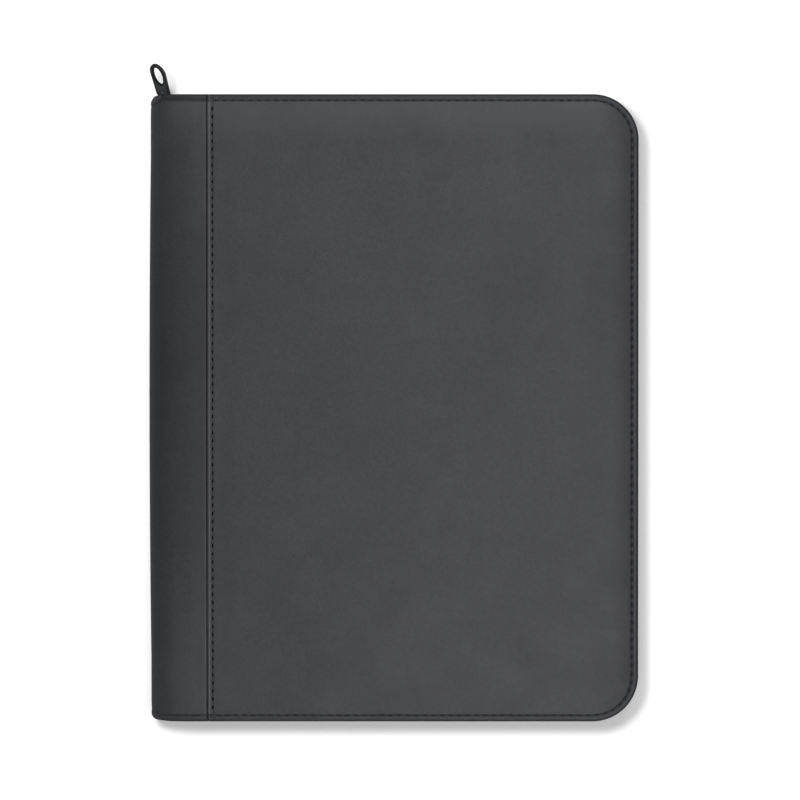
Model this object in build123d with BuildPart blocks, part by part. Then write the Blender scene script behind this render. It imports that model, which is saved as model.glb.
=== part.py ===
from build123d import *
import os
from math import cos, radians, sin, sqrt

# A zippered padfolio, lying closed on its back cover. Lengths are millimetres.
# +X runs from the spine to the opening edge, +Y along the spine, +Z out of the front cover.
# The origin is the middle of the back cover's flat rest face.

# Whole case
case_width = 266.7
case_length = 342.9
case_thickness = 25.0
corner_radius = 25.0
overrun = 1.0

# Layers of a cover, from the outside in
leather = 1.0
foam = 1.3
board = 1.5
lining = 0.6
tape = 0.6
hem = 0.6
hem_reach = 6.4
edge_round = 1.2

# Rounded spine, which folds along two lines
bend_reach = 25.0
bend_pad = 0.9
fold_inset = 4.8
fold_gap = 0.15
end_trim = 12.5

# Seam between the spine strip and the cover panels
strip_width = 31.0
lap = 8.0
lap_tongue = 0.4

# Woven tape over the ends of the spine
corner_cut_x = 4.4
corner_cut_y = 4.0
corner_tape = 0.8

# Zip
wall_inset = 6.5
flange_edge = 1.2
tooth_pitch = 3.0
tooth_width = 1.3
tooth_half_depth = 1.2
tooth_top = 2.8
tooth_reach = 1.0
tip_gap = 0.3
row_gap = 0.3
cord_half_depth = 0.8
tape_end = 5.6
bead_end = 13.3
stop_length = 2.3
stop_wrap = 0.25
stop_gap = 0.1

# Slider, parked at the top of the spine
slider_start = 4.35
slider_length = 9.5
slider_half_width = 4.75
slider_plate = 1.0
slider_play = 0.3
slider_rim = 1.0
slider_slot = 1.4
slider_post = 3.2
slider_post_width = 2.4
slider_tip_radius = 2.2
slider_bead_gap = 0.5
slider_front_clear = 2.2
slider_tape_clear = 0.35

# Crown of the slider, link and pull tab
crown_start = 7.1
crown_lift = 4.4
crown_half_span = 1.5
crown_post = 1.2
link_wire = 0.9
link_play = 0.2
link_opening = 1.9
link_spread = 1.4
pull_pitch = 35.0
pull_roll = 42.0
pull_lean = 17.6
tab_tip_width = 9.2
tab_tip_reach = 6.4
tab_base_width = 8.4
tab_length = 22.4
tab_thickness = 1.4
tab_corner = 1.4
tab_rim = 1.2
tab_hole_width = 5.5
tab_hole_length = 11.9
tab_tip_rim = 2.1
eye_width = 3.6
eye_height = 1.5

# Writing pad, US letter, between named gaps from the spine, the opening edge and the head
pad_left_gap = 39.8
pad_right_gap = 11.0
pad_head_gap = 42.2
pad_backing_thickness = 0.8
pad_sheets_thickness = 5.0
pad_float = 0.3
binding_thickness = 0.5
binding_depth = 12.0

# Pocket on the back cover that takes the pad's backing card
pocket_sheet = 0.8
pocket_border = 1.8
pocket_play = 0.4
pad_pocket_length = 150.0
pad_pocket_foot = 12.0

# Document, card and phone pockets on the front cover
document_left = 40.5
document_right = 11.5
document_foot = 12.0
document_head = 88.8
document_slot = 0.8
card_column_share = 0.516
column_gap = 4.7
card_height = 62.0
card_left = 12.0
card_foot = 16.0
card_step = 74.0
card_slot = 0.6
phone_height = 150.0
phone_right = 8.0
phone_slot = 1.2

# Elastic pen loop beside the pad
loop_bore = 11.0
loop_wall = 0.8
loop_length = 26.0
loop_centre = 30.7
loop_place = 20.0
loop_foot = 11.0

left = -case_width / 2
right = case_width / 2
half_length = case_length / 2
mid = case_thickness / 2

# Heights of the layers, counted from the middle plane
foam_out = mid - leather
board_out = foam_out - foam
lining_out = board_out - board
lining_in = lining_out - lining
hem_out = lining_out - tape
hem_in = hem_out - hem

# Places along X
bend_x = left + bend_reach
board_left = bend_x + lining
seam_x = left + strip_width
fold_x = left + fold_inset
fold_rise = mid * sqrt(1 - ((bend_reach - fold_inset) / bend_reach) ** 2)
bend_inner = leather + bend_pad + lining

wall_inner = wall_inset + tape
bead_inset = wall_inset + tape / 2
tape_end_x = left + tape_end
bead_end_x = left + bead_end

slider_left = left + slider_start
slider_right = slider_left + slider_length
slider_y = half_length - bead_inset
slider_cavity = tooth_half_depth + slider_play
slider_face = slider_cavity + slider_plate
crown_x = left + crown_start
crown_y = slider_y + crown_lift

os.makedirs("parts", exist_ok=True)


def cover_outline(level, inset, x_from):
    """Plan of a cover at a level, drawn in by an inset, with its two outer corners rounded."""
    x_to = right - inset
    with BuildSketch(Plane.XY.offset(level)) as outline:
        with Locations(((x_from + x_to) / 2, 0)):
            Rectangle(x_to - x_from, 2 * (half_length - inset))
        fillet(outline.vertices().group_by(Axis.X)[-1], radius=corner_radius - inset)
    return outline.sketch


def patch(level, x_from, x_to, y_from, y_to):
    """Rectangle between four edges at a level."""
    with BuildSketch(Plane.XY.offset(level)) as area:
        with Locations(((x_from + x_to) / 2, (y_from + y_to) / 2)):
            Rectangle(x_to - x_from, y_to - y_from)
    return area.sketch


def bend_section(outer_depth, inner_depth, x_from, x_to, z_from, z_to, y_level=0):
    """Section across the rounded spine between two depths below its outer surface."""
    with BuildSketch(Plane.XZ.offset(-y_level)) as section:
        with Locations((bend_x, mid)):
            Ellipse(bend_reach - outer_depth, mid - outer_depth)
            if inner_depth < mid:
                Ellipse(bend_reach - inner_depth, mid - inner_depth, mode=Mode.SUBTRACT)
        with Locations(((x_from + x_to) / 2, (z_from + z_to) / 2)):
            Rectangle(x_to - x_from, z_to - z_from, mode=Mode.INTERSECT)
    return section.sketch


def side_span(side):
    """Lower and upper height of the front half or the back half of the case."""
    return (mid, case_thickness) if side > 0 else (0, mid)


def outer_end_edges(part_builder):
    """Outer edges at both ends of a strip round the spine: curved, and flat where it has one."""
    ends = part_builder.edges().filter_by(
        lambda edge: abs(abs(edge.center().Y) - half_length) < fold_gap
        and edge.bounding_box().size.X > leather
    )
    reach = [max(abs(box.max.Z - mid), abs(box.min.Z - mid))
             for box in (edge.bounding_box() for edge in ends)]
    return [edge for edge, far in zip(ends, reach) if far > max(reach) - fold_gap]


def tooth_places(side, top_start):
    """Places of one row's teeth, evenly spaced round the three open sides of the case."""
    phase = (2 + side) / 4
    middle_z = mid + side * (tooth_top - tooth_reach) / 2
    corner_x = right - corner_radius
    corner_y = half_length - corner_radius
    path_y = half_length - bead_inset
    path_radius = corner_radius - bead_inset
    places = []
    top_count = int((corner_x - tooth_width / 2 - top_start) / tooth_pitch + phase)
    for step in range(top_count):
        places.append(Location((corner_x - (step + 1 - phase) * tooth_pitch, path_y, middle_z)))
    corner_count = int(radians(90) * path_radius / tooth_pitch)
    for turn, sign in ((90, 1), (0, -1)):
        for step in range(corner_count):
            angle = turn - (step + phase) * 90 / corner_count
            places.append(Location(
                (corner_x + path_radius * cos(radians(angle)),
                 sign * corner_y + path_radius * sin(radians(angle)), middle_z),
                (0, 0, angle - 90),
            ))
    side_count = int(2 * corner_y / tooth_pitch)
    for step in range(side_count):
        place_y = corner_y - (step + phase) * 2 * corner_y / side_count
        places.append(Location((right - bead_inset, place_y, middle_z), (0, 0, 90)))
    foot_count = int((corner_x - tooth_width / 2 - bead_end_x) / tooth_pitch + 1 - phase)
    for step in range(foot_count):
        places.append(Location((corner_x - (step + phase) * tooth_pitch, -path_y, middle_z)))
    return places


# Cover layers, the same on both sides of the middle plane
for side, cover in ((1, "front"), (-1, "back")):
    low, high = side_span(side)

    with BuildPart() as panel:
        extrude(cover_outline(mid + side * hem_in, 0, seam_x), amount=side * (mid - hem_in))
        extrude(
            cover_outline(mid + side * hem_out, leather, seam_x - overrun),
            amount=side * (foam_out - hem_out),
            mode=Mode.SUBTRACT,
        )
        extrude(
            cover_outline(mid + side * (hem_in - overrun), hem_reach, seam_x - overrun),
            amount=side * (hem + 2 * overrun),
            mode=Mode.SUBTRACT,
        )
        extrude(
            patch(mid + side * foam_out, seam_x - overrun, seam_x + lap,
                  leather - half_length, half_length - leather),
            amount=side * lap_tongue,
            mode=Mode.SUBTRACT,
        )
        outer_face = panel.faces().filter_by(Plane.XY).sort_by(Axis.Z)[-1 if side > 0 else 0]
        rim = outer_face.outer_wire().edges().sort_by(Axis.X)[1:]
        fillet(rim, radius=edge_round)
    panel.part.label = f"{cover}_panel"
    export_step(panel.part, f"parts/{cover}_panel.step")

    with BuildPart() as strip:
        extrude(
            bend_section(0, leather, fold_x + fold_gap, bend_x, low, high),
            amount=half_length,
            both=True,
        )
        for end in (-1, 1):
            extrude(
                bend_section(leather, leather + hem, fold_x + fold_gap, bend_x, low, high,
                             end * half_length),
                amount=end * hem_reach,
            )
        extrude(
            patch(mid + side * hem_in, bend_x, seam_x, -half_length, half_length),
            amount=side * (mid - hem_in),
        )
        extrude(
            patch(mid + side * hem_out, bend_x, seam_x + overrun,
                  leather - half_length, half_length - leather),
            amount=side * (foam_out - hem_out),
            mode=Mode.SUBTRACT,
        )
        extrude(
            patch(mid + side * (hem_in - overrun), bend_x, seam_x + overrun,
                  hem_reach - half_length, half_length - hem_reach),
            amount=side * (hem + 2 * overrun),
            mode=Mode.SUBTRACT,
        )
        extrude(
            patch(mid + side * foam_out, seam_x, seam_x + lap,
                  leather - half_length, half_length - leather),
            amount=side * lap_tongue,
        )
        fillet(outer_end_edges(strip), radius=edge_round)
    strip.part.label = f"spine_strip_{cover}"
    export_step(strip.part, f"parts/spine_strip_{cover}.step")

    with BuildPart() as padding:
        extrude(cover_outline(mid + side * board_out, leather, board_left), amount=side * foam)
        extrude(
            patch(mid + side * (foam_out - bend_pad), bend_x, board_left,
                  end_trim - half_length, half_length - end_trim),
            amount=side * bend_pad,
        )
        extrude(
            bend_section(leather, leather + bend_pad, fold_x + fold_gap, bend_x, low, high),
            amount=half_length - end_trim,
            both=True,
        )
    padding.part.label = f"{cover}_foam"
    export_step(padding.part, f"parts/{cover}_foam.step")

    with BuildPart() as stiff_board:
        extrude(cover_outline(mid + side * lining_out, leather, board_left), amount=side * board)
    stiff_board.part.label = f"{cover}_board"
    export_step(stiff_board.part, f"parts/{cover}_board.step")

    with BuildPart() as inner_lining:
        extrude(cover_outline(mid + side * lining_in, wall_inner, board_left), amount=side * lining)
        extrude(
            patch(mid + side * lining_in, bend_x, board_left,
                  wall_inner - half_length, half_length - wall_inner),
            amount=side * (foam_out - bend_pad - lining_in),
        )
        extrude(
            bend_section(leather + bend_pad, bend_inner, fold_x + fold_gap, bend_x, low, high),
            amount=half_length - end_trim,
            both=True,
        )
    inner_lining.part.label = f"{cover}_lining"
    export_step(inner_lining.part, f"parts/{cover}_lining.step")

    with BuildPart() as zip_tape:
        extrude(cover_outline(mid + side * hem_out, flange_edge, board_left), amount=side * tape)
        extrude(
            cover_outline(mid + side * (hem_out - overrun), wall_inner, board_left - overrun),
            amount=side * (tape + 2 * overrun),
            mode=Mode.SUBTRACT,
        )
        extrude(
            cover_outline(mid + side * tooth_top, wall_inset, board_left),
            amount=side * (hem_out - tooth_top),
        )
        extrude(
            cover_outline(mid + side * (tooth_top - overrun), wall_inner, board_left - overrun),
            amount=side * (hem_out - tooth_top + overrun),
            mode=Mode.SUBTRACT,
        )
        for end in (-1, 1):
            wall_low = mid + tooth_top if side > 0 else 0
            wall_high = case_thickness if side > 0 else mid - tooth_top
            extrude(
                bend_section(leather + hem, mid, tape_end_x, board_left,
                             wall_low, wall_high, end * (half_length - wall_inset)),
                amount=end * tape,
            )
        if side > 0:
            extrude(
                patch(mid, tape_end_x - overrun, slider_right + slider_front_clear,
                      half_length - wall_inner - overrun, half_length),
                amount=slider_half_width + slider_tape_clear,
                mode=Mode.SUBTRACT,
            )
    zip_tape.part.label = f"{cover}_zip_tape"
    export_step(zip_tape.part, f"parts/{cover}_zip_tape.step")

    with BuildPart() as teeth:
        top_start = slider_right + slider_front_clear
        if side < 0:
            top_start = slider_left + slider_post + slider_bead_gap
        row_start = min(top_start, bead_end_x)
        extrude(
            cover_outline(mid + side * (tooth_reach + tip_gap), bead_inset - cord_half_depth,
                          row_start),
            amount=side * (tooth_top - tooth_reach - tip_gap),
        )
        extrude(
            cover_outline(mid, bead_inset + cord_half_depth, row_start - overrun),
            amount=side * mid,
            mode=Mode.SUBTRACT,
        )
        if top_start > row_start:
            extrude(
                patch(mid, row_start - overrun, top_start, 0, half_length),
                amount=side * mid,
                mode=Mode.SUBTRACT,
            )
        if bead_end_x > row_start:
            extrude(
                patch(mid, row_start - overrun, bead_end_x, -half_length, 0),
                amount=side * mid,
                mode=Mode.SUBTRACT,
            )
        with Locations(*tooth_places(side, top_start)):
            Box(tooth_width, 2 * tooth_half_depth, tooth_top + tooth_reach)
    teeth.part.label = f"{cover}_zip_teeth"
    export_step(teeth.part, f"parts/{cover}_zip_teeth.step")

    with BuildPart() as stop:
        extrude(
            patch(mid + side * row_gap / 2, bead_end_x - stop_gap - stop_length,
                  bead_end_x - stop_gap,
                  bead_inset - tooth_half_depth - stop_wrap - half_length,
                  bead_inset + tooth_half_depth + stop_wrap - half_length),
            amount=side * (tooth_top - row_gap / 2),
        )
    stop.part.label = f"{cover}_zip_stop"
    export_step(stop.part, f"parts/{cover}_zip_stop.step")

# Spine, between the two fold lines
with BuildPart() as spine_strip:
    extrude(
        bend_section(0, leather, left, fold_x - fold_gap, 0, case_thickness),
        amount=half_length,
        both=True,
    )
    for end in (-1, 1):
        extrude(
            bend_section(leather, leather + hem, left, fold_x - fold_gap, 0, case_thickness,
                         end * half_length),
            amount=end * hem_reach,
        )
    fillet(outer_end_edges(spine_strip), radius=edge_round)
    for end in (-1, 1):
        with BuildSketch(Plane.XY) as corner_cut:
            with BuildLine():
                Polyline(
                    (left, end * half_length),
                    (left + corner_cut_x, end * half_length),
                    (left, end * (half_length - corner_cut_y)),
                    close=True,
                )
            make_face()
        extrude(amount=case_thickness, mode=Mode.SUBTRACT)
spine_strip.part.label = "spine_strip"
export_step(spine_strip.part, "parts/spine_strip.step")

with BuildPart() as spine_stiffener:
    extrude(
        bend_section(leather, leather + bend_pad, left, fold_x - fold_gap, 0, case_thickness),
        amount=half_length - end_trim,
        both=True,
    )
spine_stiffener.part.label = "spine_stiffener"
export_step(spine_stiffener.part, "parts/spine_stiffener.step")

with BuildPart() as spine_lining:
    extrude(
        bend_section(leather + bend_pad, bend_inner, left, fold_x - fold_gap, 0, case_thickness),
        amount=half_length - end_trim,
        both=True,
    )
spine_lining.part.label = "spine_lining"
export_step(spine_lining.part, "parts/spine_lining.step")

# Ends of the zip tape, folded over the corners of the spine
cut_depth = corner_cut_x * corner_cut_y / sqrt(corner_cut_x**2 + corner_cut_y**2)
cut_share = 1 - corner_tape / cut_depth
for end, place in ((1, "top"), (-1, "bottom")):
    with BuildPart() as corner_end:
        with BuildSketch(Plane.XY) as corner_plan:
            with BuildLine():
                Polyline(
                    (left + corner_cut_x, end * half_length),
                    (left + corner_cut_x * cut_share, end * half_length),
                    (left, end * (half_length - corner_cut_y * cut_share)),
                    (left, end * (half_length - corner_cut_y)),
                    close=True,
                )
            make_face()
        extrude(amount=case_thickness)
        extrude(
            bend_section(0, leather + hem, left, fold_x, 0, case_thickness),
            amount=half_length,
            both=True,
            mode=Mode.INTERSECT,
        )
    corner_end.part.label = f"zip_end_{place}"
    export_step(corner_end.part, f"parts/zip_end_{place}.step")

# Slider: two plates joined by a post at the open end, rims that hold the teeth, and a crown
slider_centre_x = slider_left + slider_length / 2
with BuildPart() as slider_body:
    for face_y in (slider_y + slider_face, slider_y - slider_cavity):
        with BuildSketch(Plane.XZ.offset(-face_y)) as plate:
            with Locations((slider_centre_x, mid)):
                RectangleRounded(slider_length, 2 * slider_half_width, slider_tip_radius)
        extrude(amount=slider_plate)
    rim_height = slider_cavity - slider_slot / 2
    for half in (-1, 1):
        for edge in (-1, 1):
            rim_y = slider_y + half * (slider_slot + rim_height) / 2
            rim_z = mid + edge * (slider_half_width - slider_rim / 2)
            with Locations((slider_centre_x, rim_y, rim_z)):
                Box(slider_length - 2 * slider_tip_radius, rim_height, slider_rim)
    with Locations((slider_left + slider_post / 2, slider_y, mid)):
        Box(slider_post, 2 * slider_cavity, slider_post_width)
    with Locations((crown_x, crown_y, mid)):
        Cylinder(crown_post / 2, 2 * crown_half_span + 2 * crown_post, rotation=(0, 90, 0))
    for end in (-1, 1):
        post_x = crown_x + end * (crown_half_span + crown_post / 2)
        post_y = slider_y + (slider_face + crown_lift) / 2
        with Locations((post_x, post_y, mid)):
            Box(crown_post, crown_lift - slider_face, crown_post)
slider_body.part.label = "slider_body"
export_step(slider_body.part, "parts/slider_body.step")

# Link: a flat ring round the crown's bar, raised by the pitch of the pull
pitch = radians(pull_pitch)
roll = radians(pull_roll)
lean = radians(pull_lean)
link_out = Vector(0, cos(pitch), sin(pitch))
crown_middle = Vector(crown_x, crown_y, mid)
link_bore = crown_post / 2 + link_play
link_reach = link_spread + link_opening + link_wire / 2
with BuildPart() as pull_link:
    with BuildSketch(Plane(origin=crown_middle, x_dir=link_out, z_dir=(1, 0, 0))) as ring:
        Circle(link_bore + link_wire)
        with Locations((link_spread, 0)):
            Circle(link_opening + link_wire)
        make_hull()
    extrude(amount=link_wire / 2, both=True)
    with BuildSketch(Plane(origin=crown_middle, x_dir=link_out, z_dir=(1, 0, 0))) as ring_hole:
        Circle(link_bore)
        with Locations((link_spread, 0)):
            Circle(link_opening)
        make_hull()
    extrude(amount=link_wire, both=True, mode=Mode.SUBTRACT)
pull_link.part.label = "pull_link"
export_step(pull_link.part, "parts/pull_link.step")

# Pull tab: a flat plate hung on the link, pitched up, rolled and leaning to the spine
tab_origin = crown_middle + link_out * link_reach
tab_along = Vector(-sin(lean) * cos(pitch), cos(lean) * cos(pitch), sin(pitch))
tab_level = Vector(cos(lean), sin(lean), 0)
tab_across = tab_level * cos(roll) + tab_level.cross(tab_along) * sin(roll)
tab_plane = Plane(origin=tab_origin, x_dir=tab_across, z_dir=tab_across.cross(tab_along))
tab_base = -eye_height / 2 - tab_rim
tab_tip = tab_base + tab_length
with BuildPart() as pull_tab:
    with BuildSketch(tab_plane) as plate:
        with Locations((0, tab_tip - tab_tip_reach)):
            Ellipse(tab_tip_width / 2, tab_tip_reach)
        for edge in (-1, 1):
            with Locations((edge * (tab_base_width / 2 - tab_corner), tab_base + tab_corner)):
                Circle(tab_corner)
        make_hull()
    extrude(amount=tab_thickness / 2, both=True)
    with BuildSketch(tab_plane) as openings:
        with Locations((0, tab_tip - tab_tip_rim - tab_hole_length / 2)):
            Ellipse(tab_hole_width / 2, tab_hole_length / 2)
        SlotOverall(eye_width, eye_height)
    extrude(amount=tab_thickness, both=True, mode=Mode.SUBTRACT)
pull_tab.part.label = "pull_tab"
export_step(pull_tab.part, "parts/pull_tab.step")

# Pocket on the back cover, open toward the top of the case
back_floor = mid - lining_in
pad_left = left + pad_left_gap
pad_right = right - pad_right_gap
pocket_foot_y = wall_inner + pad_pocket_foot - half_length
pocket_slot_top = back_floor + 2 * pad_float + pad_backing_thickness
pocket_top = pocket_slot_top + pocket_sheet
with BuildPart() as pad_pocket:
    extrude(
        patch(back_floor, pad_left - pocket_play - pocket_border,
              pad_right + pocket_play + pocket_border,
              pocket_foot_y, pocket_foot_y + pad_pocket_length),
        amount=pocket_top - back_floor,
    )
    extrude(
        patch(back_floor, pad_left - pocket_play, pad_right + pocket_play,
              pocket_foot_y + pocket_border, pocket_foot_y + pad_pocket_length + overrun),
        amount=pocket_slot_top - back_floor,
        mode=Mode.SUBTRACT,
    )
pad_pocket.part.label = "pad_pocket"
export_step(pad_pocket.part, "parts/pad_pocket.step")

# Writing pad: backing card in the pocket, sheets in front of it, binding round the head
pad_foot_y = pocket_foot_y + pocket_border + pocket_play
pad_head_y = half_length - pad_head_gap
backing_low = back_floor + pad_float
backing_high = backing_low + pad_backing_thickness
sheets_low = pocket_top + pad_float
sheets_high = sheets_low + pad_sheets_thickness
with BuildPart() as pad_backing:
    extrude(
        patch(backing_low, pad_left, pad_right, pad_foot_y, pad_head_y),
        amount=pad_backing_thickness,
    )
pad_backing.part.label = "pad_backing"
export_step(pad_backing.part, "parts/pad_backing.step")

with BuildPart() as pad_sheets:
    extrude(
        patch(sheets_low, pad_left, pad_right, pad_foot_y, pad_head_y),
        amount=pad_sheets_thickness,
    )
pad_sheets.part.label = "pad_sheets"
export_step(pad_sheets.part, "parts/pad_sheets.step")

with BuildPart() as pad_binding:
    extrude(
        patch(backing_low, pad_left, pad_right, pad_head_y, pad_head_y + binding_thickness),
        amount=sheets_high + binding_thickness - backing_low,
    )
    extrude(
        patch(sheets_high, pad_left, pad_right, pad_head_y - binding_depth, pad_head_y),
        amount=binding_thickness,
    )
    extrude(
        patch(backing_high, pad_left, pad_right, pad_head_y - binding_depth, pad_head_y),
        amount=sheets_low - backing_high,
    )
pad_binding.part.label = "pad_binding"
export_step(pad_binding.part, "parts/pad_binding.step")

# Elastic pen loop, sewn to the back lining beside the pad
loop_x = left + loop_centre
loop_outer = loop_bore / 2 + loop_wall
with BuildPart() as pen_loop:
    with BuildSketch(Plane.XZ.offset(-loop_place)) as loop_section:
        with Locations((loop_x, back_floor + loop_outer)):
            Circle(loop_outer)
        with Locations((loop_x, back_floor + loop_wall / 2)):
            Rectangle(loop_foot, loop_wall)
        with Locations((loop_x, back_floor + loop_outer)):
            Circle(loop_bore / 2, mode=Mode.SUBTRACT)
    extrude(amount=loop_length / 2, both=True)
pen_loop.part.label = "pen_loop"
export_step(pen_loop.part, "parts/pen_loop.step")

# Pockets of the front cover: name, sides, foot, length, the height they hang from and slot
front_ceiling = mid + lining_in
document_x = left + document_left
document_y = wall_inner + document_foot - half_length
document_face = front_ceiling - document_slot - pocket_sheet
document_far = right - document_right
document_length = half_length - document_head - document_y
card_x = document_x + card_left
card_y = document_y + card_foot
phone_far = document_far - phone_right
card_far = card_x + (phone_far - card_x - column_gap) * card_column_share
phone_x = card_far + column_gap
front_pockets = (
    ("document_pocket", document_x, document_far, document_y, document_length,
     front_ceiling, document_slot),
    ("card_pocket_lower", card_x, card_far, card_y, card_height, document_face, card_slot),
    ("card_pocket_upper", card_x, card_far, card_y + card_step, card_height,
     document_face, card_slot),
    ("phone_pocket", phone_x, phone_far, card_y, phone_height, document_face, phone_slot),
)
for label, x_from, x_to, y_from, length, ceiling, slot in front_pockets:
    with BuildPart() as pocket:
        extrude(
            patch(ceiling, x_from, x_to, y_from, y_from + length),
            amount=-slot - pocket_sheet,
        )
        extrude(
            patch(ceiling, x_from + pocket_border, x_to - pocket_border,
                  y_from + pocket_border, y_from + length + overrun),
            amount=-slot,
            mode=Mode.SUBTRACT,
        )
    pocket.part.label = label
    export_step(pocket.part, f"parts/{label}.step")
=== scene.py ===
import math

import bmesh
import bpy
import numpy as np
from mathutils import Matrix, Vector


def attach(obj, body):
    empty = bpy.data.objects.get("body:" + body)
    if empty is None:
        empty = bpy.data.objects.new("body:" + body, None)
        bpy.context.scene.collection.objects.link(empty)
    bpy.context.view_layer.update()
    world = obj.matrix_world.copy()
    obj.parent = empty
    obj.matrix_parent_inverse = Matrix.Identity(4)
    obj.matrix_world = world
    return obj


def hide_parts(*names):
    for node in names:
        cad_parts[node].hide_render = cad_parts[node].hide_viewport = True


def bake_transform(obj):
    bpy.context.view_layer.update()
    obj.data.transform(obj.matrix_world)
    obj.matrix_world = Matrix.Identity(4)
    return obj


# A zippered padfolio in a studio. Lengths in this file are millimetres until a mesh is made.
# +X runs from the spine to the opening edge, +Y along the spine and +Z out of the front cover.
# A side is 1 for the front half of the case and -1 for the back half.

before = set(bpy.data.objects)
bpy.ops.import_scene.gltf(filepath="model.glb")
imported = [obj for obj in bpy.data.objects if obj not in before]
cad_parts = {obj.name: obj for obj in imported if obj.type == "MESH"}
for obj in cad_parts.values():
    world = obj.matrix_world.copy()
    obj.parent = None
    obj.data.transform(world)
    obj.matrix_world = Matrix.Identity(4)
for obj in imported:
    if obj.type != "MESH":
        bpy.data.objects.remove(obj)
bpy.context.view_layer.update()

METRE = 0.001
FULL_TURN, RIGHT_ANGLE = 2 * math.pi, math.pi / 2

# Case: its sides, the middle plane between its covers and its round corners
LEFT, RIGHT, HALF, MID = -133.35, 133.35, 171.45, 12.5
CORNER = 25.0
CENTRE_X, CENTRE_Y = RIGHT - CORNER, HALF - CORNER
LEATHER, COVER_SWELL = 1.0, 0.35

# Spine: seam with the panels, round bend, fold line with the skin's direction there, and how
# far its inner layers stop short of the case's ends
SEAM_X, BEND_X, BEND_REACH = -102.35, -108.35, 25.0
FOLD, FOLD_WAY, FOLD_REACH = (-128.55, 7.365), (0.825, 0.566), 4.2
SPINE_BULGE, END_TRIM = 0.9, 12.5

# Inner layers: left side of the boards, heights from the middle plane, depths under the skin
BOARD_LEFT = -107.75
BOARD_OUT, LINING_OUT, LINING_IN = 10.2, 8.7, 8.1
LINING_DEPTH, FOAM_DEPTHS = 2.5, (LEATHER + 0.05, LEATHER + 0.85)
FOAM_INSET, FOAM_GAP = 1.3, 0.6

# Zip tape: faces of its wall, edge and fold of its sewn flange, start and depth in the spine's
# bend, and height of its notch over the slider
WALL_INSET, WALL_INNER, FLANGE_EDGE, FLANGE_FOLD = 6.5, 7.1, 1.2, 3.8
TAPE_START, TAPE_DEPTH, NOTCH = -127.75, 1.65, 5.12

# Zip chain: teeth from the slider round to the spine, and the bead of the tape that they grip
CHAIN_INSET, TOOTH_TOP, TOOTH_PITCH, TOOTH_WIDTH = 6.8, 2.8, 3.0, 1.3
TEETH_START, TEETH_END = {1: -117.3, -1: -125.3}, -120.05
BEAD_START, BEAD_HEIGHT, BEAD_HALF, BEAD_RISE = -120.0, 2.05, 0.78, 0.7

# Sewing: the rim's stitches, each four quarters long, and the needle holes along the seam
STITCH_INSET, STITCH_DEPTH, QUARTER = 3.4, 0.98, 1.1763
SEAM_STITCH, SEAM_END, SEAM_HOLES = 3.05, 163.5, 75
SEAM_PITCH = 2 * SEAM_END / (SEAM_HOLES - 1)

# Edge of a cover from the turned hem, round the outside, to the padded middle: (inset, depth).
# The first WALL_ROWS lie on the hem and the outer wall. Along the upper and lower edges only
# END_SHARE of the depth behind the stitches is left.
EDGE = (
    (6.4, 4.4), (6.42, 4.75), (6.15, 5.0), (4.2, 5.0), (2.0, 5.0), (0.8, 4.92), (0.2, 4.5),
    (0.0, 3.8), (0.0, 2.8), (0.03, 1.9), (0.2, 1.25), (0.55, 0.84), (1.05, 0.6), (1.6, 0.5),
    (2.15, 0.5), (2.65, 0.62), (3.05, 0.86), (3.4, 1.12), (3.75, 0.88), (4.2, 0.68),
    (4.8, 0.6), (5.7, 0.51), (7.0, 0.4), (9.0, 0.26), (12.0, 0.13), (16.0, 0.04), (25.0, 0.0),
)
WALL_ROWS, WALL_DEPTH, END_SHARE = 10, 5.0, 0.45

# Folded edge of a cover panel beside the strip, and its sewn line: (distance, height)
SEAM = ((0, -0.5), (0.12, -0.1), (0.3, 0.17), (0.52, 0.34), (0.8, 0.44), (1.2, 0.48),
        (1.6, 0.4), (2.15, 0.16), (2.65, -0.1), (3.05, -0.2), (3.4, -0.1), (3.8, -0.01),
        (4.2, 0), (4.8, 0))

# Edge of the spine strip that is tucked under a panel: (distance from the seam, depth)
TUCK = ((0.9, 1.2), (0.35, 1.0), (0.1, 0.75), (-0.1, 0.45), (-0.3, 0.22), (-0.6, 0.1),
        (-1.1, 0.03), (-2.4, 0), (-3.6, 0), (-4.8, 0))

# Upper end of the spine strip: depth of its pressed band and its painted shade, by inset
BAND = ((0.2, 1.25), (0.55, 0.84), (1.05, 0.64), (1.6, 0.66), (2.15, 0.74), (2.65, 0.84),
        (3.05, 0.8), (3.4, 0.5), (3.75, 0.32), (4.8, 0.22), (7.0, 0.12), (12.0, 0.02),
        (16.0, 0.0))
BAND_SHADE = ((0.3, 0.05), (1.0, 0.22), (1.8, 0.42), (2.9, 0.5), (3.15, 0.4), (3.5, 0.1),
              (4.5, 0.0))

# Painted shade of the spine strip by distance from the case's left side, shade and highlight along
# it
STRIP_SHADE = ((0, 0), (1.5, 0.15), (4, 0.25), (14, 0.02), (20, 0.1), (25, 0.3), (30, 0.4))
STRIP_SHADE_AND_HIGHLIGHT = ((-170, 0), (-167, -0.2), (-144, -0.17), (-114, -0.15), (-62, -0.02), (-7, 0.18),
              (48, 0.22), (94, 0.1), (130, 0), (150, -0.05), (158, -0.17), (163, -0.25),
              (167, -0.26), (168.5, 0))

# Outer corners of the spine: how far the end is cut back, by distance from the spine's edge.
# The skin's cut fades out over CUT_REACH along the spine.
TAPE_CUT = {1: ((0, 3.4), (0.5, 2.7), (0.8, 2.2), (1.8, 1.0), (4.2, 0.3), (8.0, 0.0)),
            -1: ((0, 2.7), (0.6, 1.7), (1.9, 0.8), (3.6, 0.5), (5.2, 0.3), (7.9, 0.1), (10, 0))}
SKIN_CUT = {1: ((0, 5.5), (4.6, 1.9), (6.0, 0.4), (8.0, 0.0)),
            -1: ((0, 4.6), (0.6, 3.6), (1.9, 2.2), (3.6, 1.2), (5.2, 0.5), (7.9, 0.1), (10, 0))}
CUT_REACH = 14.0

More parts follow.
